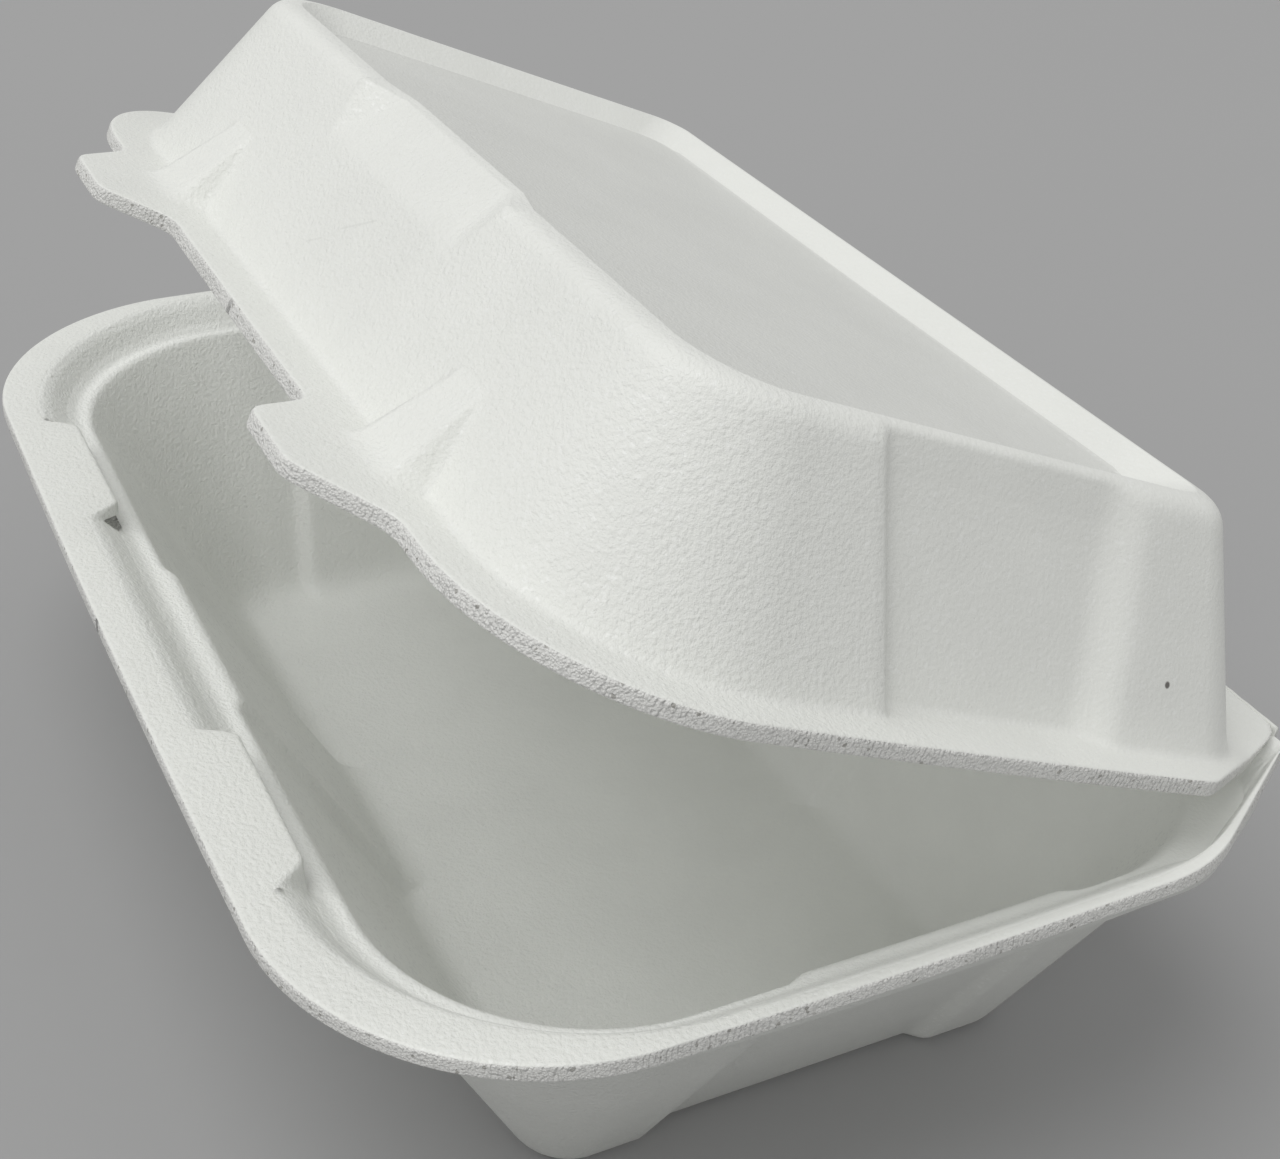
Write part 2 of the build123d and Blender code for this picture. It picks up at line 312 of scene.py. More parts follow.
class Value:
    """A shader number that can be added, multiplied and so on, written as ordinary arithmetic."""

    def __init__(self, graph, socket):
        self.graph, self.socket = graph, socket

    def _math(self, kind, *others):
        return self.graph.math(kind, self, *others)

    def __add__(self, other):
        return self._math("ADD", other)

    def __radd__(self, other):
        return self._math("ADD", other)

    def __sub__(self, other):
        return self._math("SUBTRACT", other)

    def __rsub__(self, other):
        return self.graph.math("SUBTRACT", other, self)

    def __mul__(self, other):
        return self._math("MULTIPLY", other)

    def __rmul__(self, other):
        return self._math("MULTIPLY", other)


class Graph:
    """A material's node tree, built by name."""

    def __init__(self, name):
        self.material = bpy.data.materials.new(name)
        self.material.use_nodes = True
        self.tree = self.material.node_tree
        self.tree.nodes.clear()

    def node(self, kind, settings=None, **values):
        made = self.tree.nodes.new(kind)
        for key, value in (settings or {}).items():
            setattr(made, key, value)
        for key, value in values.items():
            self.put(made.inputs[key.replace("_", " ")], value)
        return made

    def put(self, socket, value):
        if isinstance(value, Value):
            self.tree.links.new(value.socket, socket)
        elif isinstance(value, bpy.types.NodeSocket):
            self.tree.links.new(value, socket)
        else:
            socket.default_value = value

    def math(self, kind, *parts):
        made = self.tree.nodes.new("ShaderNodeMath")
        made.operation = kind
        for socket, part in zip(made.inputs, parts):
            self.put(socket, part)
        return Value(self, made.outputs[0])

    def band(self, value, low, high, start=0.0, end=1.0):
        """value mapped from low..high to start..end, held at both ends and eased between."""
        made = self.node("ShaderNodeMapRange", {"interpolation_type": "SMOOTHSTEP"})
        for socket, part in zip(made.inputs, (value, low, high, start, end)):
            self.put(socket, part)
        return Value(self, made.outputs[0])

    def noise(self, place, scale, detail=2.0, roughness=0.5):
        made = self.node("ShaderNodeTexNoise", None, Vector=place, Scale=scale, Detail=detail,
                         Roughness=roughness)
        return Value(self, made.outputs["Fac"])

    def cells(self, place, scale):
        """How far a place is from its cell's middle."""
        made = self.node("ShaderNodeTexVoronoi", None, Vector=place, Scale=scale)
        return Value(self, made.outputs["Distance"])

    def picked_cells(self, place, scale, low, high):
        """1 on a few cells picked by chance, 0 on the others."""
        made = self.node("ShaderNodeTexVoronoi", None, Vector=place, Scale=scale)
        colour = self.node("ShaderNodeSeparateColor", None, Color=made.outputs["Color"])
        return self.band(Value(self, colour.outputs["Red"]), low, high)

    def place(self):
        """Where a point lies on the object, in metres."""
        return self.node("ShaderNodeTexCoord").outputs["Object"]

    def attribute(self, name):
        return Value(self, self.node("ShaderNodeAttribute", {"attribute_name": name}).outputs["Fac"])

    def along_y(self, place):
        """A place's distance from the object's middle, towards its back."""
        return Value(self, self.node("ShaderNodeSeparateXYZ", None, Vector=place).outputs["Y"])

    def vector(self, kind, first, second):
        made = self.node("ShaderNodeVectorMath", {"operation": kind})
        self.put(made.inputs[0], first)
        self.put(made.inputs[1], second)
        return made.outputs

    def spot(self, place, centre, inner, outer):
        """1 near a point of the object, falling to 0."""
        away = Value(self, self.vector("DISTANCE", place, tuple(centre))["Value"])
        return 1 - self.band(away, inner, outer)

    def streak(self, place, start, end, width):
        """1 along a short straight line on the object, falling to 0 beside it."""
        length = float(np.linalg.norm(end - start))
        direction = (end - start) / length
        offset = self.vector("SUBTRACT", place, tuple(start))["Vector"]
        along_line = Value(self, self.vector("DOT_PRODUCT", offset, tuple(direction))["Value"])
        held = self.math("MINIMUM", self.math("MAXIMUM", along_line, 0.0), length)
        scaled = self.node("ShaderNodeVectorMath", {"operation": "SCALE"}, Scale=held)
        self.put(scaled.inputs[0], tuple(direction))
        nearest = self.vector("ADD", scaled.outputs["Vector"], tuple(start))["Vector"]
        away = Value(self, self.vector("DISTANCE", place, nearest)["Value"])
        return 1 - self.band(away, width * 0.3, width)

    def finish(self, shader):
        out = self.node("ShaderNodeOutputMaterial")
        self.tree.links.new(shader.outputs[0], out.inputs["Surface"])

    def mix_colour(self, share, first, second):
        made = self.node("ShaderNodeMix", {"data_type": "RGBA"})
        self.put(made.inputs["Factor"], share)
        for key, colour in ((6, first), (7, second)):
            self.put(made.inputs[key], colour if not isinstance(colour, tuple) else (*colour, 1.0))
        return made.outputs[2]

    def bump(self, height, strength, distance, before=None):
        made = self.node("ShaderNodeBump", None, Height=height, Strength=strength, Distance=distance)
        if before is not None:
            self.put(made.inputs["Normal"], before)
        return made.outputs[0]


def shaded(colour, share):
    """A colour darkened to a share of itself."""
    return tuple(channel * share for channel in colour)


def foam_skin(name, tint, marks=None):
    """Satin skin of the foam: small swollen cells under a thin closed film, some glossier, with a painted
    highlight.

    The cells stand out more towards the front, where the sheet was drawn least. Scales are per metre.
    """
    pebble_scale, glint_scale, wave_scale, cloud_scale = 1500.0, 2300.0, 85.0, 42.0
    pebble_height, wave_height = 0.00032, 0.0012
    smooth_from_y, pebbled_from_y = 0.02, -0.03
    painted_glint_white = (0.97, 0.98, 0.96)
    g = Graph(name)
    place = g.place()
    pebble = g.noise(place, pebble_scale, 2.0, 0.60)
    wave = g.noise(place, wave_scale, 1.0)
    cloud = g.noise(place, cloud_scale, 3.0, 0.6)
    glint = g.picked_cells(place, glint_scale, 0.91, 0.93)
    colour = g.mix_colour(g.band(cloud, 0.35, 0.70), tint, shaded(tint, 0.965))
    # Painted highlight: the glossy cells' colour is lightened towards white.
    colour = g.mix_colour(glint * 0.25, colour, painted_glint_white)
    if marks is not None:
        colour = marks(g, place, colour)
    soft = g.bump(wave, 0.20, wave_height)
    pebbled = g.band(g.along_y(place), smooth_from_y, pebbled_from_y, 0.30, 0.80)
    normal = g.bump(pebble, pebbled, pebble_height, soft)
    rough = 0.42 + pebble * 0.12 + cloud * 0.06 - glint * 0.16
    shader = g.node("ShaderNodeBsdfPrincipled", None, Base_Color=colour, Roughness=rough, Normal=normal,
                    IOR=1.46, Coat_Weight=glint * 0.3 + 0.1, Coat_Roughness=0.25)
    g.finish(shader)
    return g.material


def cut_foam(name, tint):
    """The die-cut edge: open cells, rough and matt, with the fine upright steps that the blade leaves, and
    painted shade in its hollows.
    """
    cell_scale, crumb_scale, wander_scale, patch_scale, pore_scale = 2900.0, 1500.0, 300.0, 95.0, 2300.0
    blade_step, crumb_height = 0.00072, 0.00030
    pore_painted_shade = (0.33, 0.32, 0.29)
    g = Graph(name)
    place = g.place()
    cell = g.cells(place, cell_scale)
    crumb = g.noise(place, crumb_scale, 3.0, 0.65)
    wander = g.noise(place, wander_scale, 1.0)
    step = g.math("SINE", g.attribute("run") * (math.tau / blade_step) + wander * 8.0) * 0.5 + 0.5
    patchy_step = step * g.band(g.noise(place, patch_scale, 1.0), 0.42, 0.62)
    pore = g.picked_cells(place, pore_scale, 0.975, 0.985)
    # Painted shade: the colour darkens in the cells' sunk borders and in a few open pores; it is also
    # darker along the blade's steps.
    colour = g.mix_colour(g.band(cell, 0.40, 0.80) * 0.8, tint, shaded(tint, 0.84))
    colour = g.mix_colour(patchy_step * 0.4, colour, shaded(tint, 0.88))
    colour = g.mix_colour(pore * 0.7, colour, pore_painted_shade)
    normal = g.bump(crumb * 1.5 + patchy_step * 0.5 - cell * 0.8, 0.95, crumb_height)
    shader = g.node("ShaderNodeBsdfPrincipled", None, Base_Color=colour, Roughness=0.60 + crumb * 0.2,
                    Normal=normal, IOR=1.42)
    g.finish(shader)
    return g.material


foam_white = (0.870, 0.880, 0.840)
# Painted light: the insides of the tub and of the lid are painted lighter than the rest of the skin.
inside_white_painted_light = (0.945, 0.955, 0.92)
# Painted shade: the tub's outside below the rim is painted darker than the rest of the skin.
outside_white_painted_shade = (0.74, 0.75, 0.715)
cut_white = (0.89, 0.89, 0.86)
skin = foam_skin("foam_skin", foam_white)
inside_skin_painted_light = foam_skin("foam_inside_painted_light", inside_white_painted_light)
outside_skin_painted_shade = foam_skin("foam_outside_painted_shade", outside_white_painted_shade)
cut = cut_foam("foam_cut", cut_white)


# The tub: a flared foam tray with shallow pressed panels in its walls. Its rim has a flat flange,
# a step that takes the lid, two shelves over the slots for the lid's tabs, and a web to the fold.
rim_z = 50.5
seat_z = 45.4
slot_low_z, slot_high_z = 45.5, rim_z - foam
shelf_low_y, shelf_high_y = -59.2, -59.5
fold_y = 66.45
web_top_z = 49.13
tub_centre_y = 3.0

# Half width, front, back, front corner radius and back corner radius of each outline
floor_inside, floor_outside = (69.9, -32.6, 38.2, 7, 7), (71.4, -34.1, 39.6, 7, 7)
seat_inside, seat_outside = (92.6, -55.4, 57.0, 29, 26), (94.2, -57.0, 58.7, 30, 27)
step_line, under_step_line = (94.3, -58.4, 59.5, 30, 0), (96.6, -60.7, 61.8, 30, 0)
flange_line, under_flange_line = (97.3, -62.0, fold_y, 35.4, 0), (98.9, -64.3, fold_y - 0.2, 35.4, 0)
rim_line = (100.1, -68.6, fold_y, 34.0, 0)
seat_bow, rim_bow = 1.0, 1.4

# Depth of the pressed panels, and half the width of those in front and behind
pressed_at_floor, pressed_at_seat = (2.3, 17, 23), (1.1, 18, 23)

tub_plan = Plan(front_counts=[12, 5, 9, 8, 22, 8, 3], corner_count=38, side_counts=[5, 5, 30, 5, 8],
                back_corner_count=44, back_counts=[12, 26, 6, 14])
# Where the columns stand: a pressed panel's ends on each wall, and the soft ends of a shelf in front
tub_front = [0, 15.2, 18.8, 27.8, 31.8, 57.2, 61.6]
tub_back = [61, 25, 21, 0]
tub_foot_side, tub_top_side = (-19, 24), (-13, 25)
side_ramp, front_ramp, back_ramp = 1.6, 1.8, 2.0

# A point past one of these lines is on the front, the back or a side
front_wall_y, back_wall_y, side_wall_x = -20, 25, 40


def tub_ring(size, share, **more):
    """Outline of the tub with its columns where they belong at this share of the wall's height."""
    low, high = part_way(tub_foot_side, tub_top_side, share)
    side = [low - side_ramp, low + side_ramp, high - side_ramp, high + side_ramp]
    return tub_plan.outline(size, tub_front, side, tub_back, **more)


def tub_pressed(points, share, depth, front_half, back_half):
    """Outline with the walls' shallow pressed panels."""
    x, y = points[:, 0], points[:, 1]
    low, high = part_way(tub_foot_side, tub_top_side, share)
    made = points.copy()
    front = (1 - smooth(front_half - front_ramp, front_half + front_ramp, np.abs(x))) * (y < front_wall_y)
    back = (1 - smooth(back_half - back_ramp, back_half + back_ramp, np.abs(x))) * (y > back_wall_y)
    side = smooth(low - side_ramp, low + side_ramp, y) * (1 - smooth(high - side_ramp, high + side_ramp, y))
    side = side * (np.abs(x) > side_wall_x)
    made[:, 1] += depth * front - depth * back
    made[:, 0] -= depth * side
    return made


def shelf_share(points):
    """1 where a shelf stands over a tab's slot, 0 beside it, with a soft end."""
    share = np.interp(np.abs(points[:, 0]), tub_front[3:], [0, 1, 1, 0])
    return smooth(0, 1, share) * (points[:, 1] < front_wall_y)


def softness(points):
    """How gently the rim's step is formed: fully, but not at the shelves or towards the fold."""
    web_start_y, web_full_y = 32.0, 46.0
    return (1 - shelf_share(points)) * (1 - smooth(web_start_y, web_full_y, points[:, 1]))


def shelved(points, line_y):
    """Outline whose front comes in to line_y at the shelf over each tab's slot."""
    made = points.copy()
    made[:, 1] += (line_y - points[:, 1]) * shelf_share(points)
    return made


def rim_step():
    """The rim's step from the seat up to the flange: its foot, two rings of its riser, and its top.

    The riser is straight at the shelves, with a slot through it there, and an even S elsewhere. The S
    is a cubic curve, and curved holds its points a third and two thirds of the way up.
    """
    spread_share = 0.35
    step = tub_ring(step_line, 1, bow=rim_bow, chamfer=(43.5, 86.5), end_radius=6)
    edge = tub_ring(flange_line, 1, bow=rim_bow, chamfer=(42.0, 84.2), shoulder=22)
    edge_z = rim_z + (web_top_z - rim_z) * smooth(63.0, fold_y, edge[:, 1])
    low, high = ring(step, seat_z), ring(edge, edge_z)
    soft = softness(edge)[:, None]
    spread = spread_share * soft * ring(edge - step, 0)
    foot, top = low - spread, high + spread
    curved = ((8 * foot + 12 * low + 6 * high + top) / 27, (foot + 6 * low + 12 * high + 8 * top) / 27)
    risers = []
    for z, line_y, curve in zip((slot_low_z, slot_high_z), (shelf_low_y, shelf_high_y), curved):
        share = share_at(z, seat_z, rim_z)
        riser = ring(step + (edge - step) * share, seat_z + (edge_z - seat_z) * share)
        riser = shelved(riser, line_y)
        risers.append(riser + (curve - riser) * soft)
    return foot, *risers, shelved(top, shelf_high_y)


def tub_form():
    """The tub's rings and bends, up the inside from the floor, over the rim and down the outside."""
    foot, riser_low, riser_high, top = rim_step()
    soft = softness(top)
    riser_bend = 0.15 + 2.0 * soft
    rim = tub_ring(rim_line, 1, bow=rim_bow, chamfer=(40.0, 84.3), shoulder=24)
    edge_z = rim_z + (web_top_z - rim_z) * smooth(64.5, fold_y, rim[:, 1])
    under = tub_ring(under_flange_line, 1, bow=rim_bow, chamfer=(41.2, 84.25), shoulder=23)
    under_step = tub_ring(under_step_line, 1, bow=rim_bow, chamfer=(43.5, 86.8), end_radius=8)
    under_slot = under + (under_step - under) * share_at(slot_high_z, seat_z, rim_z)
    floor_in = tub_pressed(tub_ring(floor_inside, 0), 0, *pressed_at_floor)
    floor_out = tub_pressed(tub_ring(floor_outside, 0), 0, *pressed_at_floor)
    seat_in = tub_pressed(tub_ring(seat_inside, 1, bow=seat_bow), 1, *pressed_at_seat)
    seat_out = tub_pressed(tub_ring(seat_outside, 1, bow=seat_bow), 1, *pressed_at_seat)
    return {"floor_inside": (ring(floor_in, foam), 6.5),
            "seat_inside": (ring(seat_in, seat_z), 2.5),
            "step_foot": (foot, 0.6 + 3.0 * soft),
            "slot_low": (riser_low, riser_bend),
            "slot_high": (riser_high, riser_bend),
            "flange_inside": (top, 0.8 + 2.8 * soft),
            "edge_top": (ring(rim, edge_z), 0.7),
            "edge_low": (ring(rim, edge_z - foam), 0.35),
            "flange_under": (ring(under, edge_z - foam), 1.2),
            "slot_outside": (ring(under_slot, seat_z), 0),
            "step_outside": (ring(under_step, seat_z - foam), 2.0),
            "seat_outside": (ring(seat_out, seat_z - foam), 1.5),
            "floor_outside": (ring(floor_out, 0.0), 4.0)}


rows, bend_at = sheet_rows(tub_form(), tub_centre_y)
inside_zone, outside_zone = 2, 3
zones = np.zeros(len(rows), int)
zones[bend_at["edge_top"]:bend_at["edge_low"]] = cut_zone
# The tub's inside takes the skin painted lighter, as painted light.
zones[:bend_at["flange_inside"] + 1] = inside_zone
# The tub's outside below the rim takes the skin painted darker, as painted shade.
zones[bend_at["flange_under"]:] = outside_zone

# The slots reach a few columns past the shelves' inner ends, to clear the roots of the tabs
root_columns = 6
slot_start = sum(tub_plan.front_counts[:4]) - root_columns
slot_end = sum(tub_plan.front_counts[:5])
slot = (bend_at["slot_low"], bend_at["slot_high"], bend_at["flange_under"], bend_at["slot_outside"],
        slot_start, slot_end)
tub = formed_sheet("tub", rows, [skin, cut, inside_skin_painted_light, outside_skin_painted_shade], zones, bend_at["edge_top"],
                   slots=[slot])
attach(tub, "base")
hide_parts("base")


# The lid: a shallow flared cover with a raised ridge round its sunk top, pressed panels in its
# sides, a notch in the front of the ridge, and two tabs with webs above them on its front edge.
# It is built closed and then swung to the angle at which it stands.
hinge_y = 66.6
hinge_z = 49.35
rest_angle = math.radians(22.4)
lid_under = 45.6
lid_top = lid_under + foam
gusset_top_z = 59.8
notch_foot_z = 68.0
shoulder_z = 71.0
ridge_z = 76.3
crest_drop, crest_under_drop = 0.5, 0.3
panel_z = 73.1
lid_centre_y = 2.0
web_rise_top, web_rise_under = 2.5, 3.85

# Half width, front, back, front corner radius and back corner radius of each outline
outer_foot, outer_ridge = (89.0, -50.2, 57.4, 26, 12), (76.0, -39.4, 45.4, 13.6, 6)
inner_foot, inner_ridge = (87.8, -49.0, 55.9, 25, 11), (74.5, -37.9, 43.9, 12.5, 5)
panel_edge, panel_edge_under = (68.1, -30.0, 37.4, 6, 5), (68.9, -30.8, 38.2, 6, 5)
crest_inside, crest_under = (73.2, -35.9, 42.6, 11, 5), (73.6, -36.4, 43.0, 11, 4.5)
lid_rim_line = (93.5, -56.2, fold_y, 27.6, 0)

# Places along the front at each height: the notch, and the web above the tab with its two creases
front_at_ridge = (0, 18.0, 25.3, 28.0, 40.8, 41.1, 47.5, 47.8, 60.0)
front_at_notch_foot = (0, 22.0, 22.7, 27.8, 40.7, 41.0, 47.6, 47.9, 60.5)
front_at_gusset_top = (0, 20.0, 24.0, 27.5, 40.7, 41.0, 47.6, 47.9, 61.0)
front_at_foot = (0, 16.0, 24.0, 27.5, 36.5, 38.8, 49.8, 52.1, 61.5)
front_at_rim = (0, 14.0, 22.0, 27.0, 36.0, 39.0, 50.0, 53.0, 62.0)
flat_front = (0, 0, 0, 0, 0, 0, 0, 0, 0)
notch_shape = (4.2, 4.2, 0, 0, 0, 0, 0, 0, 0)
gusset_shape = (0, 0, 0, 0, 0, -4.3, -4.3, 0, 0)

# The tab on the right of the front, from its inner root to its outer root, and its corners' radii
tab_corners = [(29.6, -57.4), (35.9, -66.9), (49.4, -66.9), (59.2, -57.0)]
tab_radii = (4.0, 3.6, 4.6, 6.0)

# How far the side panels are pressed in at each height, and where they start and end along the side
recess_crest, recess_shoulder, recess_notch_foot, recess_gusset_top, recess_foot = 1.5, 2.1, 2.3, 2.4, 2.7
lid_foot_side, lid_top_side = (-7.5, 26.3), (-14.0, 26.3)
crease_half, slope_before, slope_after = 1.3, 4.0, 3.4

# Where the ridge's bend turns sharp along the side, and where it turns soft again
sharp_from, sharp_to = (-15.5, -12.5), (22.0, 29.0)

# How far the bends of the notch and of the web above a tab reach along the front
notch_reach = 26.5
gusset_x, gusset_reach = 44, 8

lid_plan = Plan(front_counts=[12, 9, 4, 9, 4, 12, 4, 9, 3], corner_count=38, side_counts=[8, 5, 26, 6, 7],
                back_corner_count=40, back_counts=[12, 16, 14])
lid_back = [61, 30, 0]


def lid_ring(size, share, front_x, recess=0.0, front_shape=flat_front, **more):
    """Outline of the lid at a share of its wall's height, with side panels and front forms pressed in."""
    low, high = part_way(lid_foot_side, lid_top_side, share)
    stations = [low - crease_half, low + crease_half, high - slope_before, high + slope_after]
    points = lid_plan.outline(size, list(front_x), stations, lid_back, **more)
    x, y = points[:, 0], points[:, 1]
    side = smooth(stations[0], stations[1], y) * (1 - smooth(stations[2], stations[3], y))
    points[:, 1] += np.interp(x, front_x, front_shape) * (y < front_wall_y)
    points[:, 0] -= recess * side * (x > side_wall_x)
    return points


def wall_ring(foot, ridge, share, front_x, recess, front_shape):
    """Outline of the lid's wall, which is bowed at its foot and straight at its ridge."""
    foot_bow = 0.6
    size = part_way(foot, ridge, share)
    return lid_ring(size, share, front_x, recess, front_shape, bow=foot_bow * (1 - share))


def tabbed(points):
    """The rim's outline with the tab drawn out of its front."""
    start = sum(lid_plan.front_counts[:3])
    end = start + sum(lid_plan.front_counts[3:8])
    corners = [tuple(points[start]), *tab_corners, tuple(points[end])]
    made = points.copy()
    made[start:end] = along(rounded_path(corners, tab_radii), end - start)
    return made


def web_rise(x, y, total):
    """How far the flange rises towards the fold, with a facet where it meets the corner's chamfer."""
    corner_x, corner_reach = 78, 10
    web_foot_y, foot_slant = 58.0, 0.2
    facet_length, facet_growth = 0.8, 0.30
    corner = np.clip(np.abs(x) - corner_x, 0, corner_reach)
    start = web_foot_y - foot_slant * corner
    facet = facet_length + facet_growth * corner
    run = y - start
    level = np.where(run < facet, run ** 2 / (2 * facet), run - facet / 2)
    return total * np.where(run > 0, level, 0) / (fold_y - start - facet / 2)


def lid_form():
    """The closed lid's rings and bends, from the sunk panel over the ridge, down, and up the inside."""
    front_shoulder_y = -30
    shoulder_share = share_at(shoulder_z, notch_foot_z, ridge_z)
    shoulder_front = part_way(front_at_notch_foot, front_at_ridge, shoulder_share)
    shoulder_notch = part_way(flat_front, notch_shape, shoulder_share)
    levels = {"shoulder": (shoulder_z, shoulder_front, recess_shoulder, shoulder_notch),
              "notch_foot": (notch_foot_z, front_at_notch_foot, recess_notch_foot, flat_front),
              "gusset_top": (gusset_top_z, front_at_gusset_top, recess_gusset_top, flat_front),
              "foot": (lid_top, front_at_foot, recess_foot, gusset_shape)}
    outer, inner = {}, {}
    for name, (z, *shape) in {"ridge": (ridge_z - crest_drop, front_at_ridge, recess_crest, notch_shape),
                              **levels}.items():
        share = share_at(z, lid_top, ridge_z)
        outer[name] = ring(wall_ring(outer_foot, outer_ridge, share, *shape), z)
    for name, (z, *shape) in {"ridge": (ridge_z, front_at_ridge, 0.0, notch_shape), **levels}.items():
        share = share_at(z, lid_top, ridge_z)
        inner[name] = ring(wall_ring(inner_foot, inner_ridge, share, *shape), z - foam)
    rim = tabbed(lid_ring(lid_rim_line, 0, front_at_rim, bow=1.3, chamfer=(43.2, 82.0), shoulder=6.0,
                          end_radius=5.0))
    crest_notch = part_way(notch_shape, flat_front, 0.5)
    crest = lid_ring(crest_inside, 1, front_at_ridge, 0.0, crest_notch)
    crest_below = lid_ring(crest_under, 1, front_at_ridge, 0.0, notch_shape)
    x, y = outer["ridge"][:, 0], outer["ridge"][:, 1]
    near_notch = (np.abs(x) < notch_reach) & (y < front_wall_y)
    in_recess = smooth(*sharp_from, y) * (1 - smooth(*sharp_to, y)) * (x > side_wall_x)
    near_gusset = np.abs(outer["foot"][:, 0] - gusset_x) < gusset_reach
    near_gusset = near_gusset & (outer["foot"][:, 1] < front_wall_y)
    return {"panel_edge": (ring(lid_ring(panel_edge, 1, front_at_ridge), panel_z), 2.0),
            "crest": (ring(crest, ridge_z), 0.5),
            "ridge": (outer["ridge"], np.where(near_notch, 0.9, 5.0 - 3.4 * in_recess)),
            "shoulder": (outer["shoulder"], np.where(y < front_shoulder_y, 0.2, 4.0)),
            "notch_foot": (outer["notch_foot"], np.where(near_notch, 5.0, 0.4)),
            "gusset_top": (outer["gusset_top"], 0.5),
            "foot": (outer["foot"], np.where(near_gusset, 5.0, 1.6)),
            "edge_top": (ring(rim, lid_top), 0.7),
            "edge_low": (ring(rim, lid_under), 0.35),
            "foot_inside": (inner["foot"], 1.5),
            "gusset_inside": (inner["gusset_top"], 1.0),
            "notch_foot_inside": (inner["notch_foot"], 1.0),
            "shoulder_inside": (inner["shoulder"], 3.0),
            "ridge_inside": (inner["ridge"], 2.0),
            "crest_inside": (ring(crest_below, ridge_z - foam - crest_under_drop), 0.6),
            "panel_inside": (ring(lid_ring(panel_edge_under, 1, front_at_ridge), panel_z - foam), 3.0)}


def swing(points):
    """The lid's points turned from closed to the angle at which it stands."""
    made = points.copy()
    y, z = points[..., 1] - hinge_y, points[..., 2] - hinge_z
    made[..., 1] = hinge_y + math.cos(rest_angle) * y + math.sin(rest_angle) * z
    made[..., 2] = hinge_z - math.sin(rest_angle) * y + math.cos(rest_angle) * z
    return made


# Marks on the closed lid: a dark speck on the right and the ends of two scuffs on the front
speck_point = (85.9, 36.6, 55.7)
speck_dark = (0.16, 0.15, 0.14)
scuff_ends = (((-2.0, -45.9, 60.3), (3.6, -44.4, 64.0)), ((-7.0, -47.6, 56.0), (-4.6, -47.0, 57.6)))


def lid_marks(g, place, colour):
    """The speck and the faint scuffs, painted over the skin's colour."""
    spot = g.spot(place, swing(np.array(speck_point)) * MM, 0.00035, 0.0006)
    colour = g.mix_colour(spot, colour, speck_dark)
    for start, end in scuff_ends:
        line = g.streak(place, swing(np.array(start)) * MM, swing(np.array(end)) * MM, 0.0003)
        colour = g.mix_colour(line * 0.35, colour, shaded(foam_white, 0.8))
    return colour


rows, bend_at = sheet_rows(lid_form(), lid_centre_y)
edge_top, edge_low = bend_at["edge_top"], bend_at["edge_low"]
for i, row in enumerate(rows):
    under_share = float(np.clip(share_at(i, edge_top, edge_low), 0, 1))
    total = web_rise_top + under_share * (web_rise_under - web_rise_top)
    row[:, 2] += web_rise(row[:, 0], row[:, 1], total)
rows = [swing(row) for row in rows]
panel_zone, lid_inside_zone = 2, 3
zones = np.zeros(len(rows), int)
zones[edge_top:edge_low] = cut_zone
# The sunk top panel takes the skin painted darker, as painted shade.
zones[:bend_at["panel_edge"] + 1] = panel_zone
# The lid's inside takes the skin painted lighter, as painted light.
zones[edge_low:] = lid_inside_zone
lid_skin = foam_skin("foam_lid_skin", foam_white, lid_marks)
# Painted shade: the sunk top panel's skin is painted darker than the rest of the lid.
panel_skin_painted_shade = foam_skin("foam_panel_painted_shade", shaded(foam_white, 0.86))
lid = formed_sheet("lid_shell", rows, [lid_skin, cut, panel_skin_painted_shade, inside_skin_painted_light], zones, edge_top)
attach(lid, "lid")
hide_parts("lid")


# The fold: the sheet crushed thin along the back of the rim, which bends as the lid turns.
# It is a narrow loop of foam drawn along the hinge, slightly rippled behind.
fold_half = 82.0
fold_loop = [(66.02, 48.3), (66.3, 48.2), (66.78, 48.65), (66.92, 49.3), (66.98, 49.95), (66.80, 50.5),
             (66.45, 50.45), (66.42, 49.9), (66.35, 49.35), (66.25, 48.8)]
rippled_from_y = 66.6
broad_swell, broad_rate = 0.05, 1.9
fine_swell, fine_rate = 0.04, 4.3
fold_stations = np.linspace(-fold_half, fold_half, 165)
ripple = broad_swell * np.sin(fold_stations * broad_rate)
ripple = ripple + fine_swell * np.sin(fold_stations * fine_rate + 1.0)
fold_points = []
for x, swell in zip(fold_stations, ripple):
    for y, z in fold_loop:
        fold_points.append((x, y + swell * (y > rippled_from_y), z))
loop_count = len(fold_loop)
fold_faces = [tuple(range(loop_count))[::-1]]
for i in range(len(fold_stations) - 1):
    for j in range(loop_count):
        a, b = i * loop_count + j, i * loop_count + (j + 1) % loop_count
        fold_faces.append((a, b, b + loop_count, a + loop_count))
last = (len(fold_stations) - 1) * loop_count
fold_faces.append(tuple(range(last, last + loop_count)))
fold_mesh = bpy.data.meshes.new("fold")
fold_mesh.from_pydata(np.array(fold_points) * MM, [], fold_faces)
fold_mesh.materials.append(skin)
outward_faces(fold_mesh)
fold = placed("fold", fold_mesh)
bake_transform(fold)


# The floor and the light: a plain pale floor, and soft studio light from above and the front right.
# Neither is part of the box.
floor_reach = 6.0
floor_dark, floor_pale = (0.37, 0.37, 0.37), (0.39, 0.39, 0.39)
floor_graph = Graph("floor_paint")
floor_tone = floor_graph.noise(floor_graph.place(), 3.0, 2.0)
floor_paint = floor_graph.mix_colour(floor_tone, floor_dark, floor_pale)
floor_shader = floor_graph.node("ShaderNodeBsdfPrincipled", None, Base_Color=floor_paint, Roughness=0.8)
floor_graph.finish(floor_shader)
floor_corners = [(x * floor_reach, y * floor_reach, 0) for x, y in ((-1, -1), (1, -1), (1, 1), (-1, 1))]
floor_mesh = bpy.data.meshes.new("floor")
floor_mesh.from_pydata(floor_corners, [], [(0, 1, 2, 3)])
floor_mesh.materials.append(floor_graph.material)
floor = placed("floor", floor_mesh)

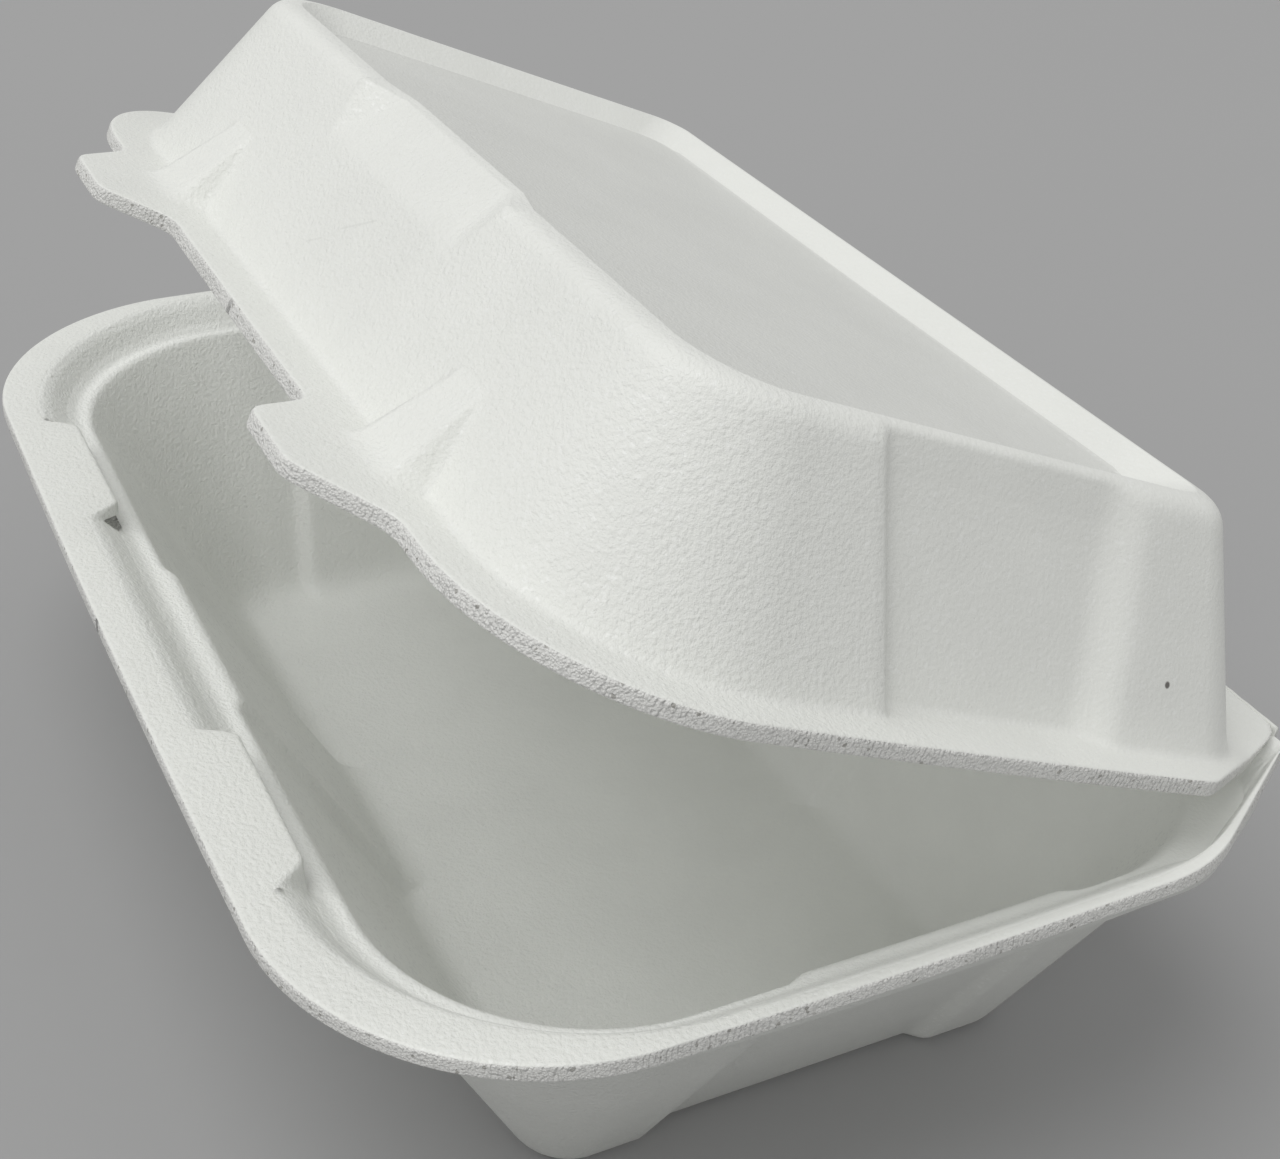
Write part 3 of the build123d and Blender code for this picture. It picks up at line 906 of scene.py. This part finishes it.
world = bpy.data.worlds.new("studio")
bpy.context.scene.world = world
world.use_nodes = True
studio_light = world.node_tree.nodes["Background"].inputs
studio_light["Color"].default_value = (1.0, 1.0, 1.0, 1)
studio_light["Strength"].default_value = 0.51


def soft_sun(name, towards_light, strength, width):
    """Broad soft light from a direction; width is its breadth in degrees."""
    data = bpy.data.lights.new(name, "SUN")
    data.energy, data.angle = strength, math.radians(width)
    made = placed(name, data)
    made.rotation_mode = "QUATERNION"
    made.rotation_quaternion = Vector(towards_light).to_track_quat("Z", "Y")


soft_sun("key", towards_light=(-0.08, -0.34, 0.94), strength=1.16, width=50)
soft_sun("fill", towards_light=(0.60, -0.60, 0.53), strength=0.26, width=30)


# The camera stands in front of the box's right side, a little above it, as in the photograph.
# Its place, turn and lens were solved from the box's own edges.
IMAGE_WIDTH = 1280
IMAGE_HEIGHT = 1159
camera_place = np.array([232.0, -111.8, 203.6])
camera_azimuth = math.radians(62.27)
camera_elevation = math.radians(29.9)
camera_roll = math.radians(-3.26)
focal_pixels = 1985.56
optical_centre = (624.57, 500.35)

towards = np.array([math.sin(camera_azimuth) * math.cos(camera_elevation),
                    -math.cos(camera_azimuth) * math.cos(camera_elevation),
                    math.sin(camera_elevation)])
level_right = np.cross(-towards, [0, 0, 1])
level_right /= np.linalg.norm(level_right)
level_down = np.cross(-towards, level_right)
right = math.cos(camera_roll) * level_right + math.sin(camera_roll) * level_down
down = -math.sin(camera_roll) * level_right + math.cos(camera_roll) * level_down

camera_data = bpy.data.cameras.new("camera")
camera_data.sensor_width = 36.0
camera_data.lens = focal_pixels / IMAGE_WIDTH * camera_data.sensor_width
camera_data.shift_x = (IMAGE_WIDTH / 2 - optical_centre[0]) / IMAGE_WIDTH
camera_data.shift_y = (optical_centre[1] - IMAGE_HEIGHT / 2) / IMAGE_WIDTH
camera_data.clip_start = 0.01
camera = placed("camera", camera_data)
axes = Matrix([[right[i], -down[i], towards[i]] for i in range(3)]).to_4x4()
camera.matrix_world = Matrix.Translation(camera_place * MM) @ axes
bpy.context.scene.camera = camera
bpy.context.scene.view_settings.view_transform = "Standard"
